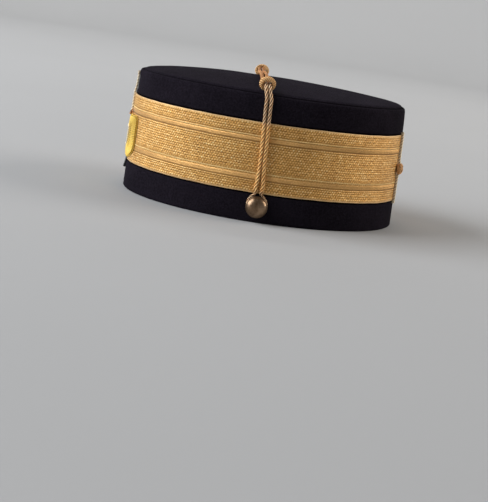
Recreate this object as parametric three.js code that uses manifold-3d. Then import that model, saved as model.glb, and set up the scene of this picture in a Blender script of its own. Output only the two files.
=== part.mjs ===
// Oval crown cap: a stiff brimless cap of black cloth with a broad gold lace,
// a doubled gold cord with two slider knots over the top, domed buttons,
// a padded badge on the front and a short knotted cord on the back.
// Millimetres, +Z up. The front of the cap faces -Y and the wearer's left is +X.
// The origin is the middle of the footprint, on the surface that the hem rests on.
import * as THREE from "three";
import { mergeVertices } from "three/addons/utils/BufferGeometryUtils.js";
import Module from "manifold-3d";

// ---- driving dimensions -------------------------------------------------
const GAP = 0.3; // room left between pieces that touch

// crown
const HALF_LENGTH = 102; // front to back, at half height
const HALF_WIDTH = 83.6; // side to side, at half height
const CROWN_HEIGHT = 90.1; // hem to the seam of the top panel
const TAPER_WIDE = -0.032; // share by which the width draws in over the whole height
const TAPER_LONG = -0.023; // and the length
const LEAN = 0.95; // the top stands this much further forward than the hem
const WALL = 2.5; // cloth on its stiffener
const TOP_EDGE = 2.6; // depth of the top panel's turned edge
const TOP_RISE = 5.8; // how far the panel's middle stands above its edge
const TOP_THICK = 2.4;
const AROUND = 80; // facets round the crown

// lace
const LACE_LOW = 20.6;
const LACE_HIGH = 70.1;
const LACE_THICK = 1.0;
const LACE_BED = -0.7; // the cloth is drawn in this much under the lace
const LACE_BACK = LACE_BED + GAP;
const LACE_FACE = LACE_BACK + LACE_THICK; // the lace's face, out from the cloth

// doubled cord
const CORD_R = 1.45;
const STRAND_HALF = 1.55; // half the distance between the two strands' middles
const EDGE_Y = -5.95; // the strands slant: further forward at the top edge ...
const BUTTON_Y = -3.05; // ... than at the button
const BUTTON_Z = 11.6;

// slider knots
// centre and dip of the left (1) and the right (-1) one: the outer end points down
const KNOTS = {
  1: { x: 76.6, y: -8.5, z: 96.05, dip: THREE.MathUtils.degToRad(17) },
  [-1]: { x: 77.9, y: -8.4, z: 95.75, dip: THREE.MathUtils.degToRad(22) },
};
const KNOT_YAW = THREE.MathUtils.degToRad(9); // and a little to the back
const KNOT_LONG = 5.1; // along the cord
const KNOT_WIDE = 11.7;
const KNOT_HIGH = 9.8;
const KNOT_HOLE_WIDE = 6.6;
const KNOT_HOLE_HIGH = 3.8;

// single cords on the front and back, the badge and the back's knot
const TRIM_R = 0.95;
const BADGE_Z = 38.4;
const BADGE_HALF_WIDE = 31.3;
const BADGE_HALF_HIGH = 16.2;
const BADGE_DIP = 1.0; // how far the upper edge drops in its middle ...
const BADGE_LIFT = 2.6; // ... and rises from there to its corners
const BADGE_SQUARE_HIGH = 8.0; // how square the upper corners are
const BADGE_SQUARE_LOW = 3.0; // and the lower ones
const BADGE_PROUD = 1.1;
const FELT_THICK = 0.5;
const FELT_MARGIN = -0.4; // the felt stops just inside the badge's edge ...
const FELT_TIP = 26.4; // ... but for a low point, this far under its middle
const BACK_U = 22.5; // the lace's join, along the cloth from the middle of the back
const BACK_KNOT_Z = 45.1;
const BACK_KNOT_HALF_LONG = 3.8;
const BACK_KNOT_HALF_WIDE = 4.2;
const BACK_KNOT_PROUD = 4.7; // out from the lace

// ---- materials ----------------------------------------------------------
const cloth = () => new THREE.MeshStandardMaterial({ color: 0x17151b, roughness: 0.9, metalness: 0 });
const lace = () => new THREE.MeshStandardMaterial({ color: 0xc79a4c, roughness: 0.5, metalness: 0.35 });
const cord = () => new THREE.MeshStandardMaterial({ color: 0xc08f45, roughness: 0.55, metalness: 0.2 });
const brass = () => new THREE.MeshStandardMaterial({ color: 0x8a7560, roughness: 0.35, metalness: 0.9 });
const yellow = () => new THREE.MeshStandardMaterial({ color: 0xe2bd3f, roughness: 0.5, metalness: 0.1 });
const felt = () => new THREE.MeshStandardMaterial({ color: 0x141216, roughness: 0.95, metalness: 0 });

// ---- the crown's own surface --------------------------------------------
const halfLength = (z) => HALF_LENGTH * (1 + TAPER_LONG * (z / CROWN_HEIGHT - 0.5));
const halfWidth = (z) => HALF_WIDTH * (1 + TAPER_WIDE * (z / CROWN_HEIGHT - 0.5));
const middleY = (z) => LEAN * (0.5 - z / CROWN_HEIGHT);

// A point at angle theta round the crown, at height z, out from the cloth.
function onCrown(theta, z, out) {
  const a = halfLength(z);
  const b = halfWidth(z);
  const n = new THREE.Vector2(Math.cos(theta) / b, Math.sin(theta) / a).normalize();
  return new THREE.Vector3(b * Math.cos(theta) + out * n.x, middleY(z) + a * Math.sin(theta) + out * n.y, z);
}
// The same for a point of the left side, found by its y.
const onSide = (y, z, out) => onCrown(Math.asin((y - middleY(z)) / halfLength(z)), z, out);
// The same for the front (towards = -1) or back (towards = 1), found by its distance u along the cloth.
function onEnd(towards, u, z, out) {
  // distance along the oval near its end, turned into the oval's own angle
  let phi = u / HALF_WIDTH;
  for (let i = 0; i < 4; i++) {
    const along = HALF_WIDTH * phi + ((HALF_LENGTH ** 2 - HALF_WIDTH ** 2) / HALF_WIDTH) * (phi ** 3 / 6);
    phi += (u - along) / HALF_WIDTH;
  }
  return onCrown(towards * (Math.PI / 2 - phi), z, out);
}

// ---- helpers ------------------------------------------------------------
function bare(geometry) {
  geometry.deleteAttribute("normal");
  geometry.deleteAttribute("uv");
  return mergeVertices(geometry, 1e-4);
}
function signedVolume(geometry) {
  const p = geometry.attributes.position;
  const [a, b, c] = [new THREE.Vector3(), new THREE.Vector3(), new THREE.Vector3()];
  let v = 0;
  for (let i = 0; i < geometry.index.count; i += 3) {
    a.fromBufferAttribute(p, geometry.index.getX(i));
    b.fromBufferAttribute(p, geometry.index.getX(i + 1));
    c.fromBufferAttribute(p, geometry.index.getX(i + 2));
    v += a.dot(b.cross(c));
  }
  return v;
}
// Moves every point by a rule, and turns the faces outwards.
function reshape(geometry, rule) {
  const g = bare(geometry);
  const p = g.attributes.position;
  const v = new THREE.Vector3();
  for (let i = 0; i < p.count; i++) {
    v.fromBufferAttribute(p, i);
    v.copy(rule(v.x, v.y, v.z));
    p.setXYZ(i, v.x, v.y, v.z);
  }
  if (signedVolume(g) < 0) {
    const ix = g.index;
    for (let i = 0; i < ix.count; i += 3) {
      const k = ix.getX(i);
      ix.setX(i, ix.getX(i + 1));
      ix.setX(i + 1, k);
    }
  }
  g.computeVertexNormals();
  return g;
}
// A ring round the crown from a closed profile of rows {out, z}.
const PROFILE_R = 50;
function ringRound(rows) {
  const profile = [...rows, rows[0]].map((r) => new THREE.Vector2(PROFILE_R + r.out, r.z));
  return reshape(new THREE.LatheGeometry(profile, AROUND), (x, y, z) =>
    onCrown(Math.atan2(z, x), y, Math.hypot(x, z) - PROFILE_R));
}
function solid(geometry) {
  const g = bare(geometry.clone());
  return new wasm.Manifold(new wasm.Mesh({
    numProp: 3,
    vertProperties: new Float32Array(g.attributes.position.array),
    triVerts: new Uint32Array(g.index.array),
  }));
}
function shown(made) {
  const m = made.getMesh();
  const g = new THREE.BufferGeometry();
  g.setAttribute("position", new THREE.BufferAttribute(new Float32Array(m.vertProperties), 3));
  g.setIndex(new THREE.BufferAttribute(new Uint32Array(m.triVerts), 1));
  g.computeVertexNormals();
  return g;
}
const wasm = await Module();
wasm.setup();

const cap = new THREE.Group();
function add(name, geometry, material) {
  const mesh = new THREE.Mesh(geometry, material);
  mesh.name = name;
  cap.add(mesh);
  return mesh;
}

// ---- crown side ---------------------------------------------------------
// The cloth turns in over the top edge to the panel's seam and spreads a little at the hem.
const SIDE_TOP = CROWN_HEIGHT - 1.35;
const SIDE_FACE = [
  { z: 0, out: -0.5 },
  { z: 0.7, out: 0.15 },
  { z: 10, out: 0.1 },
  { z: LACE_LOW - 1.0, out: 0 },
  { z: LACE_LOW - 0.5, out: LACE_BED },
  { z: LACE_HIGH + 0.5, out: LACE_BED },
  { z: LACE_HIGH + 1.0, out: 0.15 },
  { z: 78, out: 0.1 },
  { z: 84, out: -0.15 },
  { z: 86.7, out: -0.4 },
  { z: 88.1, out: -0.9 },
  { z: SIDE_TOP, out: -1.8 },
];
const SIDE_INSIDE = [
  { z: SIDE_TOP - 0.1, out: -2.35 },
  { z: 87.1, out: -2.5 },
  { z: 86.6, out: LACE_BED - WALL },
  { z: 76, out: LACE_BED - WALL },
  { z: 16, out: LACE_BED - WALL },
  { z: 10, out: -WALL },
  { z: 0.7, out: -WALL },
  { z: 0, out: -WALL + 0.5 },
];
add("crown_side", ringRound([...SIDE_FACE, ...SIDE_INSIDE]), cloth());

// ---- crown top ----------------------------------------------------------
// Rows of the panel from its middle out over the edge and back under it.
// share: part of the way from the middle to the oval of the side.
const domed = (share) => TOP_RISE * (1 - share * share);
const TOP_ROWS = [
  ...[0, 0.28, 0.53, 0.75, 0.9, 0.945].map((share) => ({ share, z: CROWN_HEIGHT + domed(share) - 0.1 })),
  { share: 0.9555, z: CROWN_HEIGHT - 0.3 },
  { share: 0.964, z: CROWN_HEIGHT - 1.2 },
  { share: 0.9655, z: CROWN_HEIGHT - 1.9 },
  { share: 0.962, z: CROWN_HEIGHT - TOP_EDGE },
  { share: 0.945, z: CROWN_HEIGHT - TOP_EDGE },
  ...[0.92, 0.8, 0.55, 0.28, 0].map((share) => ({ share, z: CROWN_HEIGHT + domed(share) - 0.1 - TOP_THICK })),
];
add("crown_top",
  reshape(
    new THREE.LatheGeometry(TOP_ROWS.map((r) => new THREE.Vector2(r.share, r.z)), AROUND),
    (x, y, z) => new THREE.Vector3(x * halfWidth(CROWN_HEIGHT), middleY(CROWN_HEIGHT) + z * halfLength(CROWN_HEIGHT), y)),
  cloth());

// ---- lace ---------------------------------------------------------------
add("lace_band", ringRound([
  { out: LACE_BACK, z: LACE_LOW },
  { out: LACE_FACE - 0.3, z: LACE_LOW },
  { out: LACE_FACE, z: LACE_LOW + 0.5 },
  { out: LACE_FACE, z: LACE_HIGH - 0.5 },
  { out: LACE_FACE - 0.3, z: LACE_HIGH },
  { out: LACE_BACK, z: LACE_HIGH },
]), lace());

// ---- doubled cord -------------------------------------------------------
const OVER_LACE = LACE_FACE + GAP + CORD_R; // the cord's middle, out from the cloth
const OVER_CLOTH = GAP + CORD_R + 0.1;
const slant = (z) => BUTTON_Y + (EDGE_Y - BUTTON_Y) * THREE.MathUtils.clamp((z - BUTTON_Z) / (CROWN_HEIGHT - BUTTON_Z), 0, 1);
// The stretch on the cap's side, from the button's shank up to the top edge.
// half: half the distance between the strands.
const SIDE_ROUTE = [
  { z: BUTTON_Z - 3.6, half: 4.2, out: OVER_CLOTH },
  { z: BUTTON_Z - 0.6, half: 5.75, out: OVER_CLOTH },
  { z: BUTTON_Z + 2.0, half: 6.1, out: OVER_CLOTH },
  { z: BUTTON_Z + 4.4, half: 5.4, out: OVER_CLOTH + 0.15 },
  { z: BUTTON_Z + 6.8, half: 3.75, out: OVER_CLOTH + 0.5 },
  { z: BUTTON_Z + 9.2, half: 2.3, out: OVER_LACE - 0.02 },
  { z: 26.5, half: 2.05, out: OVER_LACE },
  { z: 32, half: 1.8, out: OVER_LACE },
  { z: 40, half: STRAND_HALF, out: OVER_LACE },
  { z: 50, half: STRAND_HALF, out: OVER_LACE },
  { z: 60, half: STRAND_HALF, out: OVER_LACE },
  { z: 67.5, half: STRAND_HALF, out: OVER_LACE },
  { z: 72.5, half: 1.66, out: OVER_LACE - 0.35 },
  { z: 80, half: 1.72, out: OVER_CLOTH + 0.45 },
  { z: 86, half: 1.68, out: OVER_CLOTH + 0.2 },
];
const LOOP_LOW = { z: BUTTON_Z - 5.6, out: OVER_CLOTH };
// The stretch over the top edge and through the slider: rows along the slider's own axis.
// along: from the slider's middle, outwards. drop: below that axis.
const KNOT_ROUTE = [
  { along: KNOT_LONG / 2 + 2.9, drop: 1.4 },
  { along: KNOT_LONG / 2 + 0.9, drop: 0.12 },
  { along: 0, drop: 0 },
  { along: -KNOT_LONG / 2 - 2.1, drop: 0 },
];
// The stretch over the top panel. lift: above lying on it.
const TOP_Y = -9.1;
const TOP_ROUTE = [
  { x: 56, lift: 0.55 },
  { x: 36, lift: 0.15 },
  { x: 18, lift: 0 },
];
const topHeight = (x, y) => {
  const s = Math.hypot(x / halfWidth(CROWN_HEIGHT), (y - middleY(CROWN_HEIGHT)) / halfLength(CROWN_HEIGHT));
  return CROWN_HEIGHT + domed(s) - 0.1;
};
// The slider's own axes: along the cord, across the two strands, and up.
const knotAxes = (side) => ["X", "Y", "Z"].map((k) => new THREE.Vector3(+(k === "X"), +(k === "Y"), +(k === "Z"))
  .applyEuler(new THREE.Euler(0, KNOTS[side].dip, KNOT_YAW, "ZYX")));
// One strand on one side: side is 1 (left) or -1 (right), strand is 1 or -1.
function halfStrand(side, strand) {
  const pts = SIDE_ROUTE.map((r) => onSide(slant(r.z) + strand * r.half, r.z, r.out));
  const [along, across, up] = knotAxes(side);
  for (const r of KNOT_ROUTE)
    pts.push(new THREE.Vector3(KNOTS[side].x, KNOTS[side].y, KNOTS[side].z)
      .addScaledVector(along, r.along)
      .addScaledVector(across, strand * STRAND_HALF)
      .addScaledVector(up, -r.drop));
  for (const r of TOP_ROUTE)
    pts.push(new THREE.Vector3(r.x, TOP_Y + strand * STRAND_HALF, topHeight(r.x, TOP_Y) + GAP + CORD_R + 0.15 + r.lift));
  return pts.map((p) => new THREE.Vector3(side * p.x, p.y, p.z));
}
const loopLow = (side) => {
  const p = onSide(BUTTON_Y, LOOP_LOW.z, LOOP_LOW.out);
  return new THREE.Vector3(side * p.x, p.y, p.z);
};
const middle = (strand) => new THREE.Vector3(0, TOP_Y + strand * STRAND_HALF, topHeight(0, TOP_Y) + GAP + CORD_R + 0.15);
// A closed smooth line whose steps follow its own points, closer where it bends.
class Route extends THREE.CatmullRomCurve3 {
  getPointAt(u, target) { return this.getPoint(u, target); }
  getTangentAt(u, target) { return this.getTangent(u, target); }
}
const loop = [
  loopLow(1), ...halfStrand(1, 1), middle(1), ...halfStrand(-1, 1).reverse(),
  loopLow(-1), ...halfStrand(-1, -1), middle(-1), ...halfStrand(1, -1).reverse(),
];
const STEPS_A_POINT = 2;
add("chin_cord",
  reshape(new THREE.TubeGeometry(new Route(loop, true, "centripetal"), loop.length * STEPS_A_POINT, CORD_R, 8, true),
    (x, y, z) => new THREE.Vector3(x, y, z)),
  cord());

// ---- slider knots -------------------------------------------------------
// An oval ring: a torus whose tube is drawn out along the cord.
function sliderRing() {
  return reshape(new THREE.TorusGeometry(1.5, 0.5, 10, 24), (x, y, z) => {
    const angle = Math.atan2(y, x);
    const k = Math.hypot(x, y) - 1; // 0 at the hole, 1 outside
    const wide = THREE.MathUtils.lerp(KNOT_HOLE_WIDE, KNOT_WIDE, k) / 2;
    const high = THREE.MathUtils.lerp(KNOT_HOLE_HIGH, KNOT_HIGH, k) / 2;
    return new THREE.Vector3(z * KNOT_LONG, wide * Math.cos(angle), high * Math.sin(angle));
  });
}
for (const [name, side] of [["slide_knot_left", 1], ["slide_knot_right", -1]]) {
  const ring = add(name, sliderRing(), cord());
  ring.position.set(side * KNOTS[side].x, KNOTS[side].y, KNOTS[side].z);
  ring.rotation.set(0, side * KNOTS[side].dip, side * KNOT_YAW, "ZYX");
}

// ---- buttons ------------------------------------------------------------
// Rows of the turned profile: r from the axis, h out from the cloth.
const BUTTON_ROWS = [
  { r: 0, h: GAP + 0.1 },
  { r: 1.7, h: GAP + 0.1 },
  { r: 1.7, h: 3.9 },
  { r: 6.7, h: 3.9 },
  { r: 7.4, h: 4.15 },
  { r: 7.6, h: 4.7 },
  { r: 7.45, h: 5.2 },
  { r: 6.7, h: 6.2 },
  { r: 5.4, h: 7.2 },
  { r: 3.7, h: 8.05 },
  { r: 1.9, h: 8.55 },
  { r: 0, h: 8.7 },
];
const buttonFoot = onSide(BUTTON_Y, BUTTON_Z, 0);
const buttonOut = onSide(BUTTON_Y, BUTTON_Z, 1).sub(buttonFoot);
buttonOut.z = (HALF_WIDTH * -TAPER_WIDE) / CROWN_HEIGHT; // the side leans in, so its face looks up a little
buttonOut.normalize();
for (const [name, side] of [["button_left", 1], ["button_right", -1]]) {
  const button = add(name,
    reshape(new THREE.LatheGeometry(BUTTON_ROWS.map((r) => new THREE.Vector2(r.r, r.h)), 24),
      (x, y, z) => new THREE.Vector3(x, y, z)),
    brass());
  button.position.set(side * buttonFoot.x, buttonFoot.y, buttonFoot.z);
  button.quaternion.setFromUnitVectors(new THREE.Vector3(0, 1, 0), new THREE.Vector3(side * buttonOut.x, buttonOut.y, buttonOut.z));
}

// ---- single cords on the front and back ---------------------------------
function trimCord(towards, u, rows) {
  const path = new THREE.CatmullRomCurve3(rows.map((r) => onEnd(towards, u, r.z, r.out)), false, "centripetal");
  const section = new THREE.Shape(Array.from({ length: 8 }, (_, i) =>
    new THREE.Vector2(TRIM_R * Math.cos((i * Math.PI) / 4), TRIM_R * Math.sin((i * Math.PI) / 4))));
  return reshape(new THREE.ExtrudeGeometry(section, { steps: 24, bevelEnabled: false, extrudePath: path }),
    (x, y, z) => new THREE.Vector3(x, y, z));
}
const TRIM_OVER_LACE = LACE_FACE + GAP + TRIM_R;
const TRIM_OVER_CLOTH = GAP + TRIM_R;
const FRONT_ROWS = [
  { z: BADGE_Z + BADGE_HALF_HIGH - BADGE_DIP + 0.8, out: TRIM_OVER_LACE },
  { z: 59.6, out: TRIM_OVER_LACE },
  { z: 63, out: TRIM_OVER_LACE },
  { z: 67, out: TRIM_OVER_LACE },
  { z: 71, out: TRIM_OVER_LACE },
  { z: 75, out: TRIM_OVER_CLOTH + 0.4 },
  { z: 80, out: TRIM_OVER_CLOTH },
  { z: 84.5, out: TRIM_OVER_CLOTH - 0.2 },
  { z: 87.2, out: TRIM_OVER_CLOTH - 0.6 },
];
const BACK_ROWS = [
  { z: LACE_LOW - 2.0, out: TRIM_OVER_CLOTH + 0.2 },
  { z: LACE_LOW + 0.2, out: TRIM_OVER_LACE },
  { z: 32, out: TRIM_OVER_LACE },
  { z: 45, out: TRIM_OVER_LACE },
  { z: 58, out: TRIM_OVER_LACE },
  { z: LACE_HIGH - 0.2, out: TRIM_OVER_LACE },
  { z: LACE_HIGH + 2.0, out: TRIM_OVER_CLOTH + 0.2 },
];
add("front_cord", trimCord(-1, 0, FRONT_ROWS), cord());
add("back_cord", trimCord(1, BACK_U, BACK_ROWS), cord());

// ---- badge --------------------------------------------------------------
// A pad lies on the end of the crown: rows r (share of the outline) and w (height).
function padOn(towards, rows, segments, outline) {
  return reshape(new THREE.LatheGeometry(rows.map((r) => new THREE.Vector2(r.r, r.w)), segments), (x, y, z) => {
    const p = outline(x, z);
    return onEnd(towards, p.x, p.y, y);
  });
}
const padRows = (low, proud, edge) => [
  { r: 0, w: low },
  { r: 0.35, w: low },
  { r: 0.7, w: low },
  { r: 0.985, w: low },
  { r: 1, w: low + edge },
  { r: 0.94, w: low + edge + (proud - edge) * 0.45 },
  { r: 0.82, w: low + edge + (proud - edge) * 0.75 },
  { r: 0.6, w: low + edge + (proud - edge) * 0.93 },
  { r: 0.3, w: low + proud - 0.02 },
  { r: 0, w: low + proud },
];
const feltRows = (low, thick) => [
  { r: 0, w: low },
  { r: 0.35, w: low },
  { r: 0.7, w: low },
  { r: 1, w: low },
  { r: 1, w: low + thick },
  { r: 0.7, w: low + thick },
  { r: 0.35, w: low + thick },
  { r: 0, w: low + thick },
];
const FELT_LOW = LACE_FACE + GAP;
const BADGE_LOW = FELT_LOW + FELT_THICK + GAP;
// A point of the unit disc, moved out to a rounded oblong that narrows below.
function cushion(x, z) {
  const r = Math.hypot(x, z);
  if (r < 1e-9) return { x: 0, z: 0 };
  const q = z > 0 ? BADGE_SQUARE_HIGH : BADGE_SQUARE_LOW;
  const k = r / (Math.abs(x / r) ** q + Math.abs(z / r) ** q) ** (1 / q);
  return { x: (k * x) / r, z: (k * z) / r };
}
const dipped = (p) => Math.max(0, p.z) * (BADGE_LIFT * p.x * p.x - BADGE_DIP);
add("front_badge_backing",
  padOn(-1, feltRows(FELT_LOW, FELT_THICK), 48, (x, z) => {
    const p = cushion(x, z);
    const u = (BADGE_HALF_WIDE + FELT_MARGIN) * p.x;
    const tongue = Math.max(0, 1 - Math.abs(u) / 17) * Math.max(0, -z); // a pointed tongue below the middle
    return { x: u, y: BADGE_Z + (BADGE_HALF_HIGH + FELT_MARGIN) * p.z + dipped(p) - tongue * (FELT_TIP - BADGE_HALF_HIGH - FELT_MARGIN) };
  }), felt());
add("front_badge",
  padOn(-1, padRows(BADGE_LOW, BADGE_PROUD, 0.6), 48, (x, z) => {
    const p = cushion(x, z);
    return { x: BADGE_HALF_WIDE * p.x, y: BADGE_Z + BADGE_HALF_HIGH * p.z + dipped(p) };
  }), yellow());

// ---- the back's knot ----------------------------------------------------
// A round knot that sits over the cord, with the cord's own groove through it.
const KNOT_LOW = LACE_FACE + GAP;
const backKnot = padOn(1, padRows(KNOT_LOW, BACK_KNOT_PROUD - GAP, 1.6), 28,
  (x, z) => ({ x: BACK_U + BACK_KNOT_HALF_WIDE * x, y: BACK_KNOT_Z + BACK_KNOT_HALF_LONG * z }));
const grooveRows = [20, 35, 50, 65].map((z) => ({ z, out: TRIM_OVER_LACE }));
const groovePath = new THREE.CatmullRomCurve3(grooveRows.map((r) => onEnd(1, BACK_U, r.z, r.out)), false, "centripetal");
const grooveSection = new THREE.Shape([
  [-1, -2.2], [1, -2.2], [1, 0.55], [0.55, 1], [-0.55, 1], [-1, 0.55],
].map(([across, up]) => new THREE.Vector2(-up * (TRIM_R + GAP), across * (TRIM_R + GAP))));
const groove = new THREE.ExtrudeGeometry(grooveSection, { steps: 6, bevelEnabled: false, extrudePath: groovePath });
add("back_knot", shown(solid(backKnot).subtract(solid(reshape(groove, (x, y, z) => new THREE.Vector3(x, y, z))))), cord());

export default cap;
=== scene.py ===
"""Looks of the oval crown cap: black wool cloth, woven gold lace, twisted gold cord with slider knots, brass buttons,
a padded stitched badge and a knotted cord at the back. Sizes are in millimetres until a mesh is made."""
import math

import bpy
import numpy as np
from mathutils import Matrix, Vector


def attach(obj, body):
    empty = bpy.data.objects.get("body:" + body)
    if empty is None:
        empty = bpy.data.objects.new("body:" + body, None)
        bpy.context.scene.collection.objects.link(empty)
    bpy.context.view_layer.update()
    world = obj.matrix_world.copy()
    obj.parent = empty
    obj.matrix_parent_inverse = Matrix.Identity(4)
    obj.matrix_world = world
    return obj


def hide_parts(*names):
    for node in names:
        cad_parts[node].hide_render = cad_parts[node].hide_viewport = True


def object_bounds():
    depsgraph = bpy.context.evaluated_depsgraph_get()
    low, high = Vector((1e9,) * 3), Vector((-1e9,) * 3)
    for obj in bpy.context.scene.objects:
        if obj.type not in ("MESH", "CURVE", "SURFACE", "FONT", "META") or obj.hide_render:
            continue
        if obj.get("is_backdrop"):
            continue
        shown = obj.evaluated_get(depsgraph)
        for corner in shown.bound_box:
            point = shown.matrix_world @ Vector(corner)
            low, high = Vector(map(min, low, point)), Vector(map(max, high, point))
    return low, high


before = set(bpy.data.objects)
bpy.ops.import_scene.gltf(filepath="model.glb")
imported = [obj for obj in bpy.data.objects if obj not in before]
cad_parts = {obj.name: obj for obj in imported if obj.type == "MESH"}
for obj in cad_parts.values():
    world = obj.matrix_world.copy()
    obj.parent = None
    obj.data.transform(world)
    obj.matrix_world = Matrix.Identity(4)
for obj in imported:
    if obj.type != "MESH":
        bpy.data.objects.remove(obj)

CAD_BOX = [list(corner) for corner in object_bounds()]
MM = 0.001
TAU = 2 * math.pi
rng = np.random.default_rng(20)

# ---- sizes of the construction ---------------------------------------------
HALF_LENGTH, HALF_WIDTH, CROWN_HEIGHT = 102.0, 83.6, 90.1
TAPER_WIDE, TAPER_LONG, LEAN = -0.032, -0.023, 0.95
WALL, TOP_RISE, TOP_THICK = 2.5, 5.8, 2.4
LACE_LOW, LACE_HIGH = 20.6, 70.1
LACE_FACE = 0.5  # the lace's face, out from the cloth
CORD_R, LOOP_R, KNOT_HALF, TOP_HALF = 1.48, 0.95, 1.4, 1.85  # the cord, and half the distance between its strands
EDGE_Y, BUTTON_Y, BUTTON_Z = -5.95, -3.05, 11.6
# Slider knots, left (+1) and right (-1): centre, and how far the axis dips outwards
KNOT_AT = {1: np.array([76.6, -8.15, 96.05]), -1: np.array([-78.1, -8.3, 95.3])}
KNOT_DIP = {1: math.radians(17), -1: math.radians(22)}
KNOT_YAW = math.radians(9)
TRIM_R = 0.95
BADGE_Z, BADGE_HALF_WIDE, BADGE_HALF_HIGH = 38.4, 31.3, 16.2
BADGE_SQUARE_HIGH, BADGE_SQUARE_LOW = 8.0, 3.0  # how square the badge's upper and lower corners are
BADGE_DIP, BADGE_LIFT = 1.0, 2.6  # its upper edge drops in the middle and rises to the corners
FELT_MARGIN, FELT_LOW_Z = -0.4, 12.0
BACK_U, BACK_KNOT_Z = 22.5, 45.1


# ---- the crown's own surface -------------------------------------------------
def half_length(z):
    return HALF_LENGTH * (1 + TAPER_LONG * (np.asarray(z, float) / CROWN_HEIGHT - 0.5))


def half_width(z):
    return HALF_WIDTH * (1 + TAPER_WIDE * (np.asarray(z, float) / CROWN_HEIGHT - 0.5))


def middle_y(z):
    return LEAN * (0.5 - np.asarray(z, float) / CROWN_HEIGHT)


def on_crown(theta, z, out):
    """Points at angle theta round the crown, at height z, out from the cloth."""
    theta, z, out = np.broadcast_arrays(np.asarray(theta, float), np.asarray(z, float), np.asarray(out, float))
    a, b = half_length(z), half_width(z)
    nx, ny = np.cos(theta) / b, np.sin(theta) / a
    n = np.hypot(nx, ny)
    return np.stack([b * np.cos(theta) + out * nx / n, middle_y(z) + a * np.sin(theta) + out * ny / n, z], -1)


def on_side(y, z, out):
    return on_crown(np.arcsin((y - middle_y(z)) / half_length(z)), z, out)


def end_angle(towards, u):
    u = np.asarray(u, float)
    phi = u / HALF_WIDTH
    for _ in range(6):
        phi = phi + (u - HALF_WIDTH * phi - ((HALF_LENGTH**2 - HALF_WIDTH**2) / HALF_WIDTH) * phi**3 / 6) / HALF_WIDTH
    return towards * (math.pi / 2 - phi)


def on_end(towards, u, z, out):
    """Points on the front (towards -1) or back (towards 1), u along the cloth from its middle."""
    return on_crown(end_angle(towards, u), z, out)


def round_angles(count, z=45.0):
    """Angles that are evenly spaced along the cloth, and the distance of each, with the closing one last."""
    t = np.linspace(0, TAU, 8001)
    p = on_crown(t, z, 0)
    s = np.concatenate([[0], np.cumsum(np.linalg.norm(np.diff(p, axis=0), axis=1))])
    at = np.linspace(0, s[-1], count + 1)
    return np.interp(at, s, t)[:-1], at


def unit(v):
    return v / np.linalg.norm(v, axis=-1, keepdims=True)


# ---- building meshes ---------------------------------------------------------
class Piece:
    """Collects grids and faces in millimetres, then makes one mesh object."""

    def __init__(self):
        self.v, self.loops, self.counts, self.uv, self.mat, self.attrs, self.n = [], [], [], [], [], {}, 0

    def add(self, verts, faces, uv=None, mat=0, **attrs):
        verts, faces = np.asarray(verts, float).reshape(-1, 3), np.asarray(faces, int)
        self.loops.append((faces + self.n).ravel())
        self.counts.append(np.full(len(faces), faces.shape[1]))
        self.uv.append(np.zeros((faces.size, 2)) if uv is None else np.asarray(uv, float).reshape(-1, 2))
        self.mat.append(np.full(len(faces), mat))
        for k, a in attrs.items():
            self.attrs.setdefault(k, []).append((self.n, np.asarray(a, float).ravel()))
        self.v.append(verts)
        self.n += len(verts)

    def grid(self, p, u, v, close_i=False, close_j=False, mat=0, flip=False, **attrs):
        """p is rows by columns of points. u and v are the map's numbers along rows and columns, one more where closed."""
        ni, nj = p.shape[:2]
        i, j = np.meshgrid(np.arange(ni - (not close_i)), np.arange(nj - (not close_j)), indexing="ij")
        i, j = i.ravel(), j.ravel()
        i2, j2 = i + 1, j + 1
        faces = np.stack([i * nj + j, (i2 % ni) * nj + j, (i2 % ni) * nj + j2 % nj, i * nj + j2 % nj], 1)
        u, v = np.asarray(u, float), np.asarray(v, float)
        uv = np.stack([np.stack([u[i], v[j]], -1), np.stack([u[i2], v[j]], -1), np.stack([u[i2], v[j2]], -1), np.stack([u[i], v[j2]], -1)], 1)
        if flip:
            faces, uv = faces[:, ::-1], uv[:, ::-1]
        self.add(p, faces, uv, mat, **attrs)

    def make(self, name, *materials):
        verts = np.concatenate(self.v) * MM
        loops, counts = np.concatenate(self.loops), np.concatenate(self.counts)
        me = bpy.data.meshes.new(name)
        me.vertices.add(len(verts))
        me.vertices.foreach_set("co", verts.astype(np.float32).ravel())
        me.loops.add(len(loops))
        me.loops.foreach_set("vertex_index", loops.astype(np.int32))
        me.polygons.add(len(counts))
        me.polygons.foreach_set("loop_start", np.concatenate([[0], np.cumsum(counts)[:-1]]).astype(np.int32))
        for m in materials:
            me.materials.append(m)
        me.polygons.foreach_set("material_index", np.concatenate(self.mat).astype(np.int32))
        me.polygons.foreach_set("use_smooth", np.ones(len(counts), bool))
        me.uv_layers.new(name="Weave").uv.foreach_set("vector", np.concatenate(self.uv).astype(np.float32).ravel())
        for k, chunks in self.attrs.items():
            values = np.zeros(len(verts), np.float32)
            for start, a in chunks:
                values[start : start + len(a)] = a
            me.attributes.new(k, "FLOAT", "POINT").data.foreach_set("value", values)
        me.update(calc_edges=True)
        me.validate()
        ob = bpy.data.objects.new(name, me)
        bpy.context.scene.collection.objects.link(ob)
        return ob


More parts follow.
